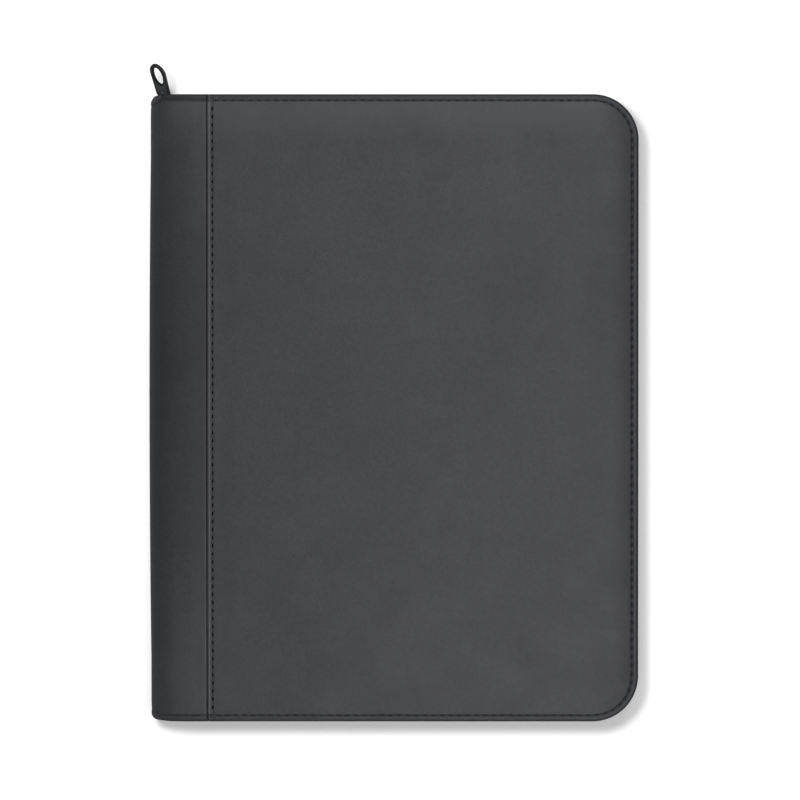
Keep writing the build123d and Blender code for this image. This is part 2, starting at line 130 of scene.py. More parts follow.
# Tape folded over such a corner: (share of its width, depth)
CORNER_TAPE = ((0.0, 0.7), (0.04, 0.4), (0.2, 0.16), (0.45, 0.12), (0.7, 0.16), (0.88, 0.26),
               (0.97, 0.45), (1.0, 0.8), (0.96, 1.6), (0.6, 1.7), (0.2, 1.7))

# One half of a zip tooth's outline from its foot to its head: (across, height), and its
# slices: (place along the tooth, size about TOOTH_CENTRE)
TOOTH = ((0.62, 2.75), (0.66, 1.9), (0.6, 1.15), (0.38, 0.75), (0.34, 0.2), (0.5, -0.25),
         (0.56, -0.6), (0.36, -0.93), (0.0, -1.0))
TOOTH_CENTRE = (0, 0.9)
TOOTH_SLICES = ((-1.2, 0.72), (-1.12, 0.93), (-0.85, 1.0), (0.85, 1.0), (1.12, 0.93),
                (1.2, 0.72))

# Pull tab: pin of its link on the crown, its slant, its outline and hole from the link's axis,
# and how its plate differs from the CAD one (scale, turn, and shift of the tip)
CROWN_PIN, LINK_REACH = (-126.25, 169.05, MID), 3.75
PITCH, ROLL, LEAN = math.radians(35), math.radians(42), math.radians(17.6)
TAB_BASE, TAB_TIP, TIP_REACH = -1.95, 20.45, 6.4
HALF_TIP, HALF_BASE, BASE_CORNER = 4.6, 4.2, 1.4
HOLE_MIDDLE, HOLE_HALF, HOLE_REACH = 12.4, 3.2, 6.4
EYE_HALF, EYE_REACH = 2.1, 0.9
TAB_SCALE, TAB_TURN, TIP_SHIFT = (1.06, 0.975, 0.85), math.radians(2.0), 0.35
RIM_RADIUS, RIM_RISE = 0.5, 0.68

# Pocket: thickness of its sheet, height of its sewn border, and where its flat middle begins;
# share of the border's height and of the rise behind it, by inset; distances of its mouth's
# rows from the upper edge, and the thickness that the last rows show
POCKET_SHEET, POCKET_EDGE, POCKET_FLAT = 0.8, 0.86, 11
POCKET_FALL = ((0, 0), (0.02, 0.5), (0.18, 0.8), (0.5, 0.86), (0.9, 0.84), (1.25, 0.74),
               (1.6, 0.72), (2.0, 0.8), (2.8, 0.9), (4.5, 0.97), (7, 1), (POCKET_FLAT, 1))
POCKET_LIFT = ((2, 0), (5, 0.75), (9, 1))
POCKET_MOUTH = (4, 2.5, 1.2, 0.5, 0.12, 0, 0, 0.1, 0.5, 3, 8)
MOUTH_THICKNESS = (0.05, 0.25, 0.55, 0.75, POCKET_SHEET, POCKET_SHEET)

# Pen loop: middle, radii, ends and ribs, and its foot on the lining: (across, height)
LOOP_X, LOOP_FLOOR, LOOP_OUTER, LOOP_INNER = -102.65, 4.4, 6.3, 5.5
LOOP_START, LOOP_END, RIB_HEIGHT, RIB_PITCH = 7.0, 33.0, 0.06, 2.0
LOOP_FOOT = ((-5.5, 0.02), (-5.5, 0.4), (-5.3, 0.74), (-4.8, 0.8), (0, 0.8), (4.8, 0.8),
             (5.3, 0.74), (5.5, 0.4), (5.5, 0.02))

# Writing pad: its box, its leaves and how far each may slip
PAD_X, PAD_Y, PAD_Z = (-93.55, 122.35), (-150.15, 129.25), (6.9, 11.9)
LEAVES, LEAF_SHARE, LEAF_SLIP, LEAF_EDGE = 14, 0.86, 0.22, 0.3


def array(points):
    return np.asarray(points, float)


def columns(*values):
    """Points from their coordinates, row by row; a single number serves all the points."""
    return np.stack(np.broadcast_arrays(*values), axis=-1).reshape(-1, len(values))


def lookup(table, value):
    """Value read from a table of pairs, with straight lines between them."""
    return np.interp(value, *array(table).T)


def bell(value, middle, width):
    return np.exp(-((value - middle) / width) ** 2)


def unit(vectors):
    return vectors / np.linalg.norm(vectors, axis=1)[:, None]


def run_along(line):
    """Distance run along a line at each of its points."""
    return np.concatenate([[0], np.cumsum(np.linalg.norm(np.diff(line, axis=0), axis=1))])


def grid_faces(rows, cols, start=0, closed=False, flip=False):
    """Quads of a grid of points laid out row by row."""
    faces = []
    for i in range(rows if closed else rows - 1):
        a = start + i * cols
        b = start + ((i + 1) % rows) * cols
        for j in range(cols - 1):
            quad = (a + j, b + j, b + j + 1, a + j + 1)
            faces.append(quad[::-1] if flip else quad)
    return faces


def tube_faces(rings, count):
    """Quads between rings of points, each ring closed on itself."""
    faces = []
    for i in range(rings - 1):
        for j in range(count):
            a, b = i * count + j, i * count + (j + 1) % count
            faces.append((a, b, b + count, a + count))
    return faces


def copied_faces(faces, size, count):
    """Faces of a shape of so many points, again for each of its copies."""
    return [tuple(k * size + i for i in face) for k in range(count) for face in faces]


def new_object(name, data):
    obj = bpy.data.objects.new(name, data)
    bpy.context.collection.objects.link(obj)
    return obj


def piece(name, points, faces, material, body=None, node=None, painted_shading=None, weld=True,
          smooth=True):
    """A mesh from points in millimetres, with its rest place kept for its material. It rides on
    a body and stands for a CAD node, where they are given."""
    mesh = bpy.data.meshes.new(name)
    mesh.from_pydata((array(points) * METRE).tolist(), [], faces)
    # Painted shade (positive) and painted highlight (negative) for the leather's colour
    depth = mesh.attributes.new("painted_shading", "FLOAT", "POINT")
    if painted_shading is not None:
        depth.data.foreach_set("value", np.asarray(painted_shading, np.float32).ravel())
    if weld:
        work = bmesh.new()
        work.from_mesh(mesh)
        bmesh.ops.remove_doubles(work, verts=work.verts, dist=2e-6)
        bmesh.ops.dissolve_degenerate(work, edges=work.edges, dist=1e-7)
        work.to_mesh(mesh)
        work.free()
    place = mesh.attributes.new("rest_place", "FLOAT_VECTOR", "POINT")
    corners = np.empty(len(mesh.vertices) * 3, np.float32)
    mesh.vertices.foreach_get("co", corners)
    place.data.foreach_set("vector", corners)
    mesh.polygons.foreach_set("use_smooth", np.full(len(mesh.polygons), smooth))
    mesh.materials.append(material)
    mesh.update()
    obj = new_object(name, mesh)
    if body:
        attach(obj, body)
    if node:
        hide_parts(node)
    return obj


def threads(name, places, tangents, ups, size, material, body, squat=1.0):
    """Rows of stitches: short rounded threads whose ends dip into their holes. Their size is
    their length, their radius and how far their ends sink."""
    length, radius, sink = size
    tangents, ups = (np.broadcast_to(array(way), places.shape) for way in (tangents, ups))
    sides = np.cross(ups, tangents)
    rings, count = 9, 8
    shape = []
    for share in np.linspace(-1, 1, rings):
        fat = radius * math.sqrt(max(0.0, 1 - abs(share) ** 3.2))
        for angle in np.linspace(0, FULL_TURN, count):
            shape.append((share * length / 2, fat * math.cos(angle),
                          squat * fat * math.sin(angle) - sink * share**4))
    along, across, up = array(shape).T[:, None, :, None]
    points = places[:, None] + tangents[:, None] * along + sides[:, None] * across
    points = (points + ups[:, None] * up).reshape(-1, 3)
    faces = copied_faces(grid_faces(rings, count), len(shape), len(places))
    piece(name, points, faces, material, body)


class Graph:
    """Short calls that add shader nodes. A socket takes a number, a colour or an output."""

    def __init__(self, tree):
        self.nodes, self.links = tree.nodes, tree.links

    def feed(self, node, inputs):
        for name, value in inputs.items():
            if isinstance(value, bpy.types.NodeSocket):
                self.links.new(value, node.inputs[name])
            else:
                node.inputs[name].default_value = (
                    (*value, 1) if isinstance(value, tuple) else value)

    def add(self, kind, inputs, **settings):
        node = self.nodes.new("ShaderNode" + kind)
        for name, value in settings.items():
            setattr(node, name, value)
        self.feed(node, inputs)
        return node.outputs

    def attribute(self, name):
        return self.add("Attribute", {}, attribute_name=name)

    def place(self, carried=False):
        """Where a point was at rest: kept on the mesh, or a carried CAD node's own space."""
        return self.add("TexCoord", {})["Object"] if carried else self.attribute(
            "rest_place")["Vector"]

    def camera_ray(self):
        return self.add("LightPath", {})["Is Camera Ray"]

    def mix(self, factor, low, high):
        return self.add("Mix", {0: factor, 6: low, 7: high}, data_type="RGBA")[2]

    def noise(self, place, scale, detail=3, rough=0.55):
        return self.add("TexNoise", {"Vector": place, "Scale": scale, "Detail": detail,
                                     "Roughness": rough})["Fac"]

    def math(self, operation, *values):
        return self.add("Math", dict(enumerate(values)), operation=operation)[0]

    def spread(self, value, low, high, from_low=0.3, from_high=0.7):
        return self.add("MapRange", {"Value": value, "From Min": from_low, "From Max": from_high,
                                     "To Min": low, "To Max": high})["Result"]

    def bump(self, height, distance, strength=1.0, **more):
        return self.add("Bump", {"Height": height, "Distance": distance, "Strength": strength,
                                 **more})["Normal"]

    def surface(self, colour, rough, specular, sheen=0.0, **more):
        self.feed(self.nodes["Principled BSDF"], {
            "Base Color": colour, "Roughness": rough, "Specular IOR Level": specular,
            "Sheen Weight": sheen, **more})


def new_material(name):
    material = bpy.data.materials.new(name)
    material.use_nodes = True
    return material, Graph(material.node_tree)


def scaled(colour, factor):
    return tuple(factor * value for value in colour)


def leather(name, low, high, rough, specular=0.35):
    """Charcoal leather with fine grain and faint mottling. A positive shading value paints shade
    into its sewn grooves and rims, and a negative one paints a highlight."""
    material, graph = new_material(name)
    place = graph.place()
    flecks = graph.noise(place, 420)
    mottle = graph.math("MULTIPLY_ADD", flecks, 0.8, graph.noise(place, 26, 5, 0.62))
    colour = graph.mix(graph.spread(mottle, 0, 1, 0.62, 1.18), low, high)
    cells = graph.add("TexVoronoi", {"Scale": 1300, "Vector": place}, feature="DISTANCE_TO_EDGE")
    creases = graph.spread(cells["Distance"], 0, 1, 0.0, 0.18)
    fine = graph.math("MULTIPLY_ADD", graph.noise(place, 2600, 2), 0.5, creases)
    # The grain's creases are darker: partly the grain's own colour, partly painted shade in the
    # creases
    colour = graph.mix(graph.spread(creases, 0.35, 1, 0, 1), scaled(low, 0.55), colour)
    # Painted shade where the attribute is positive, painted highlight where it is negative
    painted_shading = graph.attribute("painted_shading")["Fac"]
    colour = graph.mix(graph.math("MAXIMUM", painted_shading, 0), colour, scaled(low, 0.22))
    painted_highlight = graph.math("MAXIMUM", graph.math("MULTIPLY", painted_shading, -1), 0)
    colour = graph.mix(painted_highlight, colour, scaled(high, 2.2))
    normal = graph.bump(graph.noise(place, 90), 0.00012)
    normal = graph.bump(flecks, 0.00004, Normal=normal)
    normal = graph.bump(fine, 0.00003, 0.8, Normal=normal)
    wear_and_painted_shade = graph.spread(graph.noise(place, 60, 4), rough - 0.04, rough + 0.05)
    graph.surface(colour, wear_and_painted_shade, specular, Normal=normal)
    return material


def woven(name, low, high, pitch, depth, diagonal=False, rough=0.8):
    """Plain or twill weave of a given thread pitch and depth in millimetres."""
    material, graph = new_material(name)
    place = graph.place()
    x, y, z = graph.add("SeparateXYZ", {0: place})
    across, along = x, graph.math("ADD", y, z)
    if diagonal:
        across, along = graph.math("ADD", x, along), graph.math("SUBTRACT", x, along)
    turns = FULL_TURN / (pitch * METRE)
    warp, weft = (graph.math("SINE", graph.math("MULTIPLY", way, turns))
                  for way in (across, along))
    cloth = graph.math("MULTIPLY_ADD", graph.noise(place, 700), 0.9,
                       graph.math("MULTIPLY", warp, weft))
    colour = graph.mix(graph.spread(cloth, 0, 1, -0.8, 1.4), low, high)
    fuzz = graph.spread(graph.noise(place, 250), rough - 0.06, rough + 0.06)
    graph.surface(colour, fuzz, 0.2, 0.08, Normal=graph.bump(cloth, depth * METRE))
    return material


def speckled(name, low, high, scale, rough, bump, carried=True, specular=0.5):
    """Paper, card, board, foam, plastic or lacquered metal, by its two tones and its grain."""
    material, graph = new_material(name)
    place = graph.place(carried)
    specks = graph.noise(place, scale, 4, 0.65)
    colour = graph.mix(graph.spread(specks, 0, 1), low, high)
    wear = graph.spread(graph.noise(place, scale / 5), rough - 0.06, rough + 0.08)
    graph.surface(colour, wear, specular, Normal=graph.bump(specks, bump * METRE))
    return material


def ruled_paper(name):
    """White writing paper with pale blue rules and one red margin line."""
    rule_pitch, rule_share, highest_rule, top_face = 0.0071, 0.045, 0.100, 0.0117
    margin_x, half_margin = -0.0617, 0.0002
    material, graph = new_material(name)
    place = graph.place()
    x, y, z = graph.add("SeparateXYZ", {0: place})
    fibres = graph.noise(place, 1500, 4)
    colour = graph.mix(fibres, (0.70, 0.70, 0.67), (0.78, 0.78, 0.76))
    flat = graph.math("GREATER_THAN", z, top_face)
    step = graph.math("FRACT", graph.math("ADD", graph.math("DIVIDE", y, rule_pitch), 40))
    rule = graph.math("MULTIPLY", graph.math("LESS_THAN", step, rule_share),
                      graph.math("LESS_THAN", y, highest_rule))
    colour = graph.mix(graph.math("MULTIPLY", rule, flat), colour, (0.33, 0.47, 0.66))
    offset = graph.math("ABSOLUTE", graph.math("SUBTRACT", x, margin_x))
    margin = graph.math("LESS_THAN", offset, half_margin)
    colour = graph.mix(graph.math("MULTIPLY", margin, flat), colour, (0.68, 0.22, 0.22))
    graph.surface(colour, graph.spread(fibres, 0.75, 0.9), 0.2,
                  Normal=graph.bump(fibres, 0.00001))
    return material


COVER = leather("cover_leather", (0.0235, 0.0245, 0.028), (0.0345, 0.0355, 0.041), 0.42,
                specular=0.5)
POCKET = leather("pocket_leather", (0.026, 0.026, 0.028), (0.034, 0.034, 0.037), 0.55)
LINING = woven("lining_weave", (0.012, 0.012, 0.013), (0.045, 0.045, 0.048), 0.5, 0.06)
TAPE = woven("zip_tape_weave", (0.005, 0.005, 0.006), (0.062, 0.062, 0.066), 2.6, 0.25,
             diagonal=True)
ELASTIC = woven("elastic_weave", (0.006, 0.006, 0.006), (0.04, 0.04, 0.042), 0.9, 0.15)
TWIST = {"pitch": 0.35, "depth": 0.03, "diagonal": True, "rough": 0.6}
THREAD = woven("sewing_thread", (0.006, 0.006, 0.007), (0.020, 0.020, 0.022), **TWIST)
SEAM_THREAD = woven("seam_thread", (0.02, 0.02, 0.022), (0.05, 0.05, 0.054), **TWIST)
# Near-black lenses painted as the shade inside the seam's needle holes
HOLE = speckled("needle_hole_shade", (0.003, 0.003, 0.003), (0.006, 0.006, 0.006), 900, 0.9, 0.01,
                carried=False, specular=0.1)
FOAM = speckled("foam_cells", (0.05, 0.05, 0.05), (0.09, 0.09, 0.09), 1800, 0.9, 0.08,
                carried=False, specular=0.1)
BOARD = speckled("grey_board", (0.16, 0.15, 0.14), (0.24, 0.23, 0.21), 900, 0.85, 0.03)
CARD = speckled("backing_card", (0.24, 0.21, 0.17), (0.33, 0.29, 0.24), 1100, 0.85, 0.03)
BINDING = speckled("binding_paper", (0.010, 0.011, 0.014), (0.022, 0.023, 0.028), 1600, 0.6,
                   0.03)
PLASTIC = (0.012, 0.012, 0.013), (0.024, 0.024, 0.026), 1200, 0.3, 0.01
TEETH = speckled("zip_teeth_plastic", *PLASTIC, carried=False)
STOP = speckled("zip_stop_plastic", *PLASTIC)
METAL = speckled("black_metal", (0.007, 0.007, 0.007), (0.016, 0.016, 0.016), 900, 0.48, 0.015,
                 specular=0.3)
TAB_FIELD = speckled("tab_field", (0.008, 0.009, 0.009), (0.075, 0.077, 0.08), 1300, 0.6, 0.12,
                     carried=False, specular=0.15)
RIM = speckled("tab_rim", (0.001, 0.001, 0.001), (0.004, 0.004, 0.004), 900, 0.5, 0.01,
               carried=False, specular=0.06)
PAPER = ruled_paper("ruled_paper")


# Plan of a cover: places across it from its seam, and along its sides a quarter stitch apart
LINE_X = np.concatenate([SEAM_X + array(SEAM)[:, 0],
                         np.arange(CENTRE_X, SEAM_X + SEAM[-1][0] + 0.5, -QUARTER)[::-1]])
SIDE_QUARTERS, ARC_QUARTERS = 249, 29
LINE_Y = np.linspace(-CENTRE_Y, CENTRE_Y, SIDE_QUARTERS + 1)
ARC = np.linspace(0, RIGHT_ANGLE, ARC_QUARTERS + 1)[1:-1]


def rim_line(inset, foot_x=LINE_X, turn=ARC, side_y=LINE_Y):
    """Plan points round the three open sides of a cover, drawn in by an inset."""
    r = max(CORNER - inset, 0)
    foot = columns(foot_x, inset - HALF)
    lower = columns(CENTRE_X + r * np.sin(turn), -CENTRE_Y - r * np.cos(turn))
    side = columns(RIGHT - inset, side_y)
    upper = columns(CENTRE_X + r * np.cos(turn), CENTRE_Y + r * np.sin(turn))
    return np.concatenate([foot, lower, side, upper, foot[::-1] * (1, -1)])


def rim_phase():
    """Stitches passed at each point of the rim line: a whole number at every needle hole."""
    foot = (LINE_X - CENTRE_X) / QUARTER
    lower = np.arange(1, ARC_QUARTERS)
    side = ARC_QUARTERS + np.arange(SIDE_QUARTERS + 1)
    upper = side[-1] + lower
    top = upper[-1] + 1 - foot[::-1]
    return np.concatenate([foot, lower, side, upper, top]) / 4


def seam_shade(x):
    """Painted shade in the groove beside the folded edge and along its sewn line, and a painted
    highlight on the ridge.
    """
    u = x - SEAM_X
    return 0.2 * bell(u, -0.05, 0.2) + 0.3 * bell(u, SEAM_STITCH, 0.35) - 0.5 * bell(u, 1.45, 0.6)


def edge_shade(inset, depth, facing, swing):
    """Painted shade of the sewn groove, deepest at its threads, of the rim along the opening edge,
    fading inward from that edge, and even on the hem and wall. Facing is how far the edge looks
    to the opening, and swing is 1 at a needle hole."""
    # Painted shade fading inward from the opening edge
    painted_edge_shade = 0.68 * bell(inset, STITCH_INSET, 7) * facing * (inset > STITCH_INSET)
    groove = 0.75 * bell(inset, STITCH_INSET, 0.36) * (0.6 - 0.5 * swing)
    rim = 0.95 * bell(inset, 0, 0.8) * (0.12 + 0.88 * facing)
    return np.where(depth < 2, groove + rim + painted_edge_shade, 0.45)


def end_shade_and_highlight(inset, upper, lower):
    """Painted shade of the rim band along the upper and lower edges, and a painted highlight on
    the shoulder along the upper edge.
    """
    ridge = bell(inset, 1.9, 0.6)
    shoulder = np.interp(inset, (3.4, 4.2, 12, 25), (0, 1, 0.8, 0))
    return (0.4 * ridge - 0.22 * shoulder) * upper + 0.25 * ridge * lower


def relief(x, y, side):
    """Height of a cover's face: its folded edge, and the front's gentle swell over its foam."""
    seam = lookup(SEAM, x - SEAM_X)
    if side < 0:
        return seam
    across = np.clip((x - SEAM_X - 4) / 14, 0, 1) * np.clip((RIGHT - 25 - x) / 40, 0, 1)
    along = np.clip((HALF - 25 - abs(y)) / 40, 0, 1)
    across, along = (share * share * (3 - 2 * share) for share in (across, along))
    return seam + COVER_SWELL * across * along


def cover_panel(side, cover):
    """The padded leather of one cover: turned hem, rolled edge, sewn groove and smooth middle."""
    phase = rim_phase()
    swing = np.cos(FULL_TURN * phase)
    outward = rim_line(0) - rim_line(1)
    facing = outward[:, 0] ** 2
    upper, lower = np.maximum(outward[:, 1], 0) ** 2, np.minimum(outward[:, 1], 0) ** 2
    points, shades = [], []
    for k, (inset, depth) in enumerate(EDGE):
        plan = rim_line(inset)
        x, y = plan.T
        drop = np.full(len(plan), depth)
        if inset > STITCH_INSET:
            past = 1 + 0.5 * min(max(inset - 4.5, 0) / 3, 1)
            drop *= END_SHARE + (1 - END_SHARE) * facing * past
        if k >= WALL_ROWS:
            pulled = 0.24 * bell(inset, STITCH_INSET, 0.6) - 0.05 * bell(inset, 4.9, 0.9)
            height = relief(x, y, side)
            if k <= WALL_ROWS + 1:
                height = height - 0.5 * lookup(SEAM, x - SEAM_X)
            drop -= pulled * swing + height
        points.append(columns(x, y, MID + side * (MID - drop)))
        # Painted shade in grooves, rim and edges; painted highlight on the seam ridge and upper
        # shoulder
        near_foot = (y < 0) & (inset < STITCH_INSET)
        shade = end_shade_and_highlight(inset, upper, lower) + seam_shade(x) * np.where(near_foot, 0.25, 1.0)
        shade = edge_shade(inset, depth, facing, swing) + shade * (depth < 2)
        shades.append(np.clip(shade, -1, 1))
    faces = grid_faces(len(points), len(phase), flip=side > 0)
    faces += grid_faces(len(LINE_X), len(LINE_Y), len(points) * len(phase), flip=side < 0)
    across = LINE_X[:, None]
    points.append(columns(across, LINE_Y, MID + side * (MID + relief(across, LINE_Y, side))))
    # Painted shade of the seam's groove across the smooth middle
    shades.append(np.repeat(seam_shade(LINE_X), len(LINE_Y)))
    points = np.concatenate(points)
    if side < 0:
        points[:, 2] = np.maximum(points[:, 2], 0)
    body, slot, up = f"{cover}_cover", "cover_leather", (0, 0, side)
    piece(f"{cover}_panel_leather", points, faces, COVER, body, f"{cover}_panel",
          np.concatenate(shades))

    def on_rim(stitches):
        return columns(*(np.interp(stitches, phase, way) for way in rim_line(STITCH_INSET).T), 0)

    wanted = np.arange(math.ceil(phase[0] + 0.4), phase[-1] - 0.4) + 0.5
    threads(f"{cover}_rim_stitches", on_rim(wanted) + (0, 0, MID + side * (MID - STITCH_DEPTH)),
            unit(on_rim(wanted + 0.2) - on_rim(wanted - 0.2)), up, (3.0, 0.29, 0.5), THREAD,
            body)
    # Dark lenses level with the leather: painted shade of the needle holes
    holes = columns(SEAM_X + SEAM_STITCH, SEAM_END - SEAM_PITCH * np.arange(SEAM_HOLES),
                    MID + side * (MID - 0.2))
    threads(f"{cover}_seam_hole_shades", holes, (0, 1, 0), up, (2.3, 0.66, 0.05), HOLE, body,
            squat=0.3)
    spans = holes[:-1] + (0, -SEAM_PITCH / 2, 0.04 if side > 0 else 0.1)
    threads(f"{cover}_seam_stitches", spans, (0, 1, 0), up, (3.1, 0.3, 0.35), SEAM_THREAD,
            body)


def bend_line(depth, steps, past=0):
    """Points round one half of the rounded spine, from the flat to the middle: x, rise, normal.
    The line may go on past the middle by some of its steps."""
    a, b = BEND_REACH - depth, MID - depth
    dense = np.linspace(RIGHT_ANGLE, math.pi, 2000)
    run = run_along(columns(a * np.cos(dense), b * np.sin(dense)))
    angles = np.interp(np.linspace(0, run[-1], steps + 1), run, dense)
    if past:
        angles = np.concatenate([angles, FULL_TURN - angles[-2:-2 - past:-1]])
    normal = unit(columns(np.cos(angles) / a, np.sin(angles) / b))
    return BEND_X + a * np.cos(angles), b * np.sin(angles), normal


def whole_bend(depth, steps, limit):
    """Points and normals round the outer part of the spine, from the front to the back."""
    x, rise, normal = bend_line(depth, steps)
    keep = x < limit
    return [np.concatenate([way[keep], way[keep][-2::-1] * (1, -1)])
            for way in (columns(x, rise), normal)]


def blend_fold(obj, side):
    """Bake a layer's transform into its mesh, the same for either side."""
    if side > 0:
        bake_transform(obj)
    else:
        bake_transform(obj)


def corner_cut(x, cut):
    """How far a layer stops short of the case's end at the outer corners of the spine."""
    return lookup(cut, x - LEFT)


def spine_skin(side, cover):
    """One half of the leather strip round the spine, from its tucked edge to the middle, with
    its stitches at both ends."""
    beyond = (0.004, 0.02, 0.06, 0.12)
    bend_x, bend_rise, bend_normal = bend_line(0, 44, past=len(beyond))
    x = np.concatenate([SEAM_X + array(TUCK)[:, 0], bend_x])
    rise = np.concatenate([np.full(len(TUCK), MID), bend_rise])
    normal = np.concatenate([np.tile((0.0, 1.0), (len(TUCK), 1)), bend_normal])
    sunk = np.zeros(len(x))
    sunk[:len(TUCK)], sunk[-len(beyond):] = array(TUCK)[:, 1], beyond
    # Depths of the outer wall and of the hidden hem change from the flat to the bend
    bent = np.clip((BEND_X - x) / 4.0, 0, 1)
    wall = WALL_DEPTH * (1 - bent) + 1.6 * bent
    inner = 3.9 * (1 - bent) + 1.0 * bent
    calm = 0.3 + 0.7 * np.clip((x - LEFT) / 8, 0, 1) ** 0.7
    outward = np.clip((BEND_X - x) / BEND_REACH, 0, 1) ** 2
    # Painted shade toward the strip's two long edges
    painted_edge_shade = lookup(STRIP_SHADE, x - LEFT)

    def end_rows(end):
        """Place, depth and shade of each row at one end, from the hidden hem to the flat."""
        # The hidden hem and the outer wall get an even painted shade
        rows = [(CUT_REACH, inner, 0.5), (6.7, inner, 0.5)]
        for k, (inset, depth) in enumerate(EDGE):
            if k < WALL_ROWS:
                rows.append((inset, depth + (wall - WALL_DEPTH) * max(depth - 1.4, 0) / 3.6, 0.5))
            elif end > 0:
                rows.append((inset, lookup(BAND, inset) * calm + sunk,
                             lookup(BAND_SHADE, inset) * calm))
            else:
                share = END_SHARE if inset > STITCH_INSET else 1.0
                rows.append((inset, depth * share * calm + sunk, edge_shade(inset, depth, 0, 0)))
        cut = corner_cut(x, SKIN_CUT[end])
        return [(end * (HALF - inset - cut * (1 - min(inset, CUT_REACH) / CUT_REACH)), *row)
                for inset, *row in rows]

    between = [(np.full(len(x), y), sunk, 0)
               for y in np.linspace(-CENTRE_Y, CENTRE_Y, 100)[1:-1]]
    points, shades = [], []
    for y, drop, shade in (*end_rows(-1), *between, *end_rows(1)[::-1]):
        bulge = SPINE_BULGE * outward * np.clip(1 - (y / (0.8 * HALF)) ** 2, 0, 1)
        points.append(columns(x - normal[:, 0] * drop - bulge, y,
                              MID + side * (rise - normal[:, 1] * drop)))
        # Painted shade and highlight along the strip, painted shade at its edges and in the seam's
        # groove
        tone = lookup(STRIP_SHADE_AND_HIGHLIGHT, y)
        tone = tone * np.where(tone < 0, np.clip((x - LEFT - 2) / 12, 0, 1), calm)
        wear_and_painted_shade = painted_edge_shade * np.interp(abs(y), (60, 150), (1, 0.4))
        seam = 0.2 * bell(x - SEAM_X, -0.05, 0.3)
        shades.append(np.clip(shade + seam + wear_and_painted_shade + tone, -1, 1))
    faces = grid_faces(len(points), len(x), flip=side < 0)
    skin = piece(f"spine_leather_{cover}", np.concatenate(points), faces, COVER,
                 painted_shading=np.concatenate(shades))
    blend_fold(skin, side)
    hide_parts(f"spine_strip_{cover}", "spine_strip")

    x, rise, normal = bend_line(0, 60)
    keep = (x > BEND_X - 15.5) & (x < BEND_X + 0.1)
    run = run_along(columns(x, rise)[keep])
    steps = np.arange(1.2, run[-1], 4 * QUARTER)
    spots = columns(*(np.interp(steps, run, way[keep]) for way in (x, rise, *normal.T)))
    on_flat = (SEAM_X - 5.2, MID, 0, 1)
    x, rise, n_x, n_z = np.concatenate([[on_flat], spots]).T
    for end, place, drop in ((1, "top", 0.85), (-1, "bottom", STITCH_DEPTH)):
        places = columns(x - n_x * drop, end * (HALF - STITCH_INSET),
                         MID + side * (rise - n_z * drop))
        threads(f"spine_{cover}_{place}_stitches", places, columns(n_z, 0, -side * n_x),
                columns(n_x, 0, side * n_z), (3.4, 0.25, 0.5), THREAD, f"{cover}_cover")


def tape_corner(end, place):
    """Woven tape folded over the cut corner of the spine."""
    line, normal = whole_bend(0, 160, LEFT + 6.2)
    inner = HALF - corner_cut(line[:, 0], SKIN_CUT[end]) - 1.1
    outer = HALF - corner_cut(line[:, 0], TAPE_CUT[end]) - 0.1
    points = []
    for k, (share, depth) in enumerate(CORNER_TAPE):
        rib = 0.07 * np.cos(np.arange(len(line)) * 1.9 + 1.7 * k)
        x, rise = (line - normal * (depth + rib)[:, None]).T
        points.append(columns(x, end * (inner + (outer - inner) * share), MID + rise))
    faces = grid_faces(len(points), len(line), flip=end < 0)
    piece(f"zip_tape_corner_{place}", np.concatenate(points), faces, TAPE, "spine",
          f"zip_end_{place}")


def half_width(x, inset):
    """Half the length of a layer at a place across the cover, with its rounded corners."""
    r = CORNER - inset
    reach = np.clip(x - CENTRE_X, 0, r)
    return np.where(x > CENTRE_X, CENTRE_Y + np.sqrt(np.maximum(r**2 - reach**2, 0)),
                    HALF - inset)


def edge_columns(inset, start):
    """Places across a layer from the opening edge, close together where its corners turn."""
    turn = np.linspace(0, RIGHT_ANGLE, 16)
    return np.concatenate([np.arange(start, CENTRE_X - 1, 6.0),
                           CENTRE_X + (CORNER - inset) * np.sin(turn)])[::-1]


def cover_lining(side, cover):
    """Lining of one cover and of its half of the spine, one cloth."""
    flat = edge_columns(WALL_INNER, BOARD_LEFT + 0.2)
    x, rise, _ = bend_line(LINING_DEPTH, 30)
    step = ((BOARD_LEFT - 0.05, LINING_IN + 0.25, 164.3),
            (BOARD_LEFT - 0.2, LINING_IN + 0.9, 163.5), (BOARD_LEFT - 0.4, MID - 2.55, 161.0))
    path = np.concatenate([columns(flat, LINING_IN, half_width(flat, WALL_INNER)), step,
                           columns(x, rise, HALF - END_TRIM)])
    share = np.sin(np.linspace(-RIGHT_ANGLE, RIGHT_ANGLE, 61))
    points = [columns(x, share * far, MID + side * height) for x, height, far in path]
    faces = grid_faces(len(points), len(share), flip=side > 0)
    cloth = piece(f"{cover}_lining_cloth", np.concatenate(points), faces, LINING)
    blend_fold(cloth, side)
    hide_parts(f"{cover}_lining", "spine_lining")


def closed_slab(tops, bottoms, reach, share):
    """Points and faces of a closed thick sheet between an upper and a lower path."""
    path = np.concatenate([tops, bottoms[::-1]])
    reach = np.concatenate([reach, reach[::-1]])
    count = len(path)
    faces = tube_faces(len(share), count)
    for start in (0, (len(share) - 1) * count):
        for i in range(count // 2 - 1):
            quad = (start + i, start + i + 1, start + count - 2 - i, start + count - 1 - i)
            faces.append(quad if start else quad[::-1])
    return columns(path[:, 0], array(share)[:, None] * reach, path[:, 1]), faces


def pressed(inset):
    """Height of a foam's upper face, pressed down by the sewn edge of its leather."""
    return MID - LEATHER - 0.04 - np.minimum(lookup(EDGE[WALL_ROWS:], inset), 1.12)


